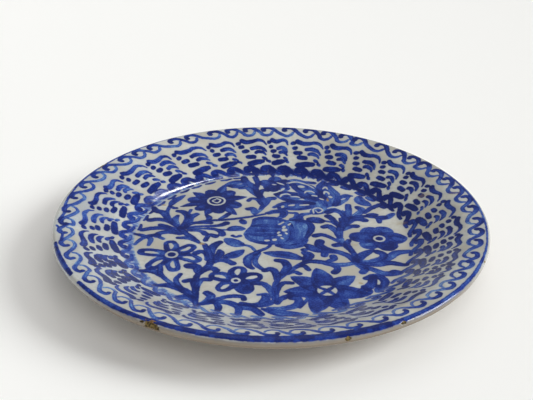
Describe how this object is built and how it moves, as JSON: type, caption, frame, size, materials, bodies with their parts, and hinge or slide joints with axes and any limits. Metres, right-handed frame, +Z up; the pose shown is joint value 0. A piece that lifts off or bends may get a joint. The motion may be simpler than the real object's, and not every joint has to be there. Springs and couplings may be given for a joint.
{
  "type": "painted ceramic plate",
  "caption": "Wide shallow tin-glazed earthenware dish with a rolled lip and foot ring, painted in cobalt with a pomegranate, bird, blossoms, comma strokes and a scroll border",
  "frame": {"origin": "on the table, under the middle of the foot ring", "axes": "+Z up, the axis of the dish; +Y towards the far side, where the bird is painted"},
  "size_m": [0.4, 0.4, 0.0388],
  "materials": {
    "clay": "biscuit-fired red-buff earthenware, bare and matt on the foot",
    "tin_glaze": "warm grey-white tin glaze, glossy, speckled and finely crazed",
    "cobalt": "cobalt blue brushed on the raw glaze and fired into it, glossy",
    "deep_cobalt": "cobalt laid on thick, nearly navy, glossy"
  },
  "bodies": {
    "root": {"clay_body": "clay", "face_glaze": "tin_glaze", "back_glaze": "tin_glaze", "cobalt_lip_line": "deep_cobalt", "cobalt_scroll_border": "cobalt", "cobalt_comma_strokes": "cobalt", "cobalt_growing_dots": "deep_cobalt", "cobalt_well_scrolls": "deep_cobalt", "cobalt_pomegranate": "cobalt", "cobalt_bird": "cobalt", "cobalt_blossoms": "cobalt", "cobalt_trunk_vine": "cobalt", "cobalt_lower_fan": "cobalt", "cobalt_left_fan": "cobalt", "cobalt_far_vine": "cobalt", "cobalt_right_vine": "cobalt"}
  },
  "joints": []
}
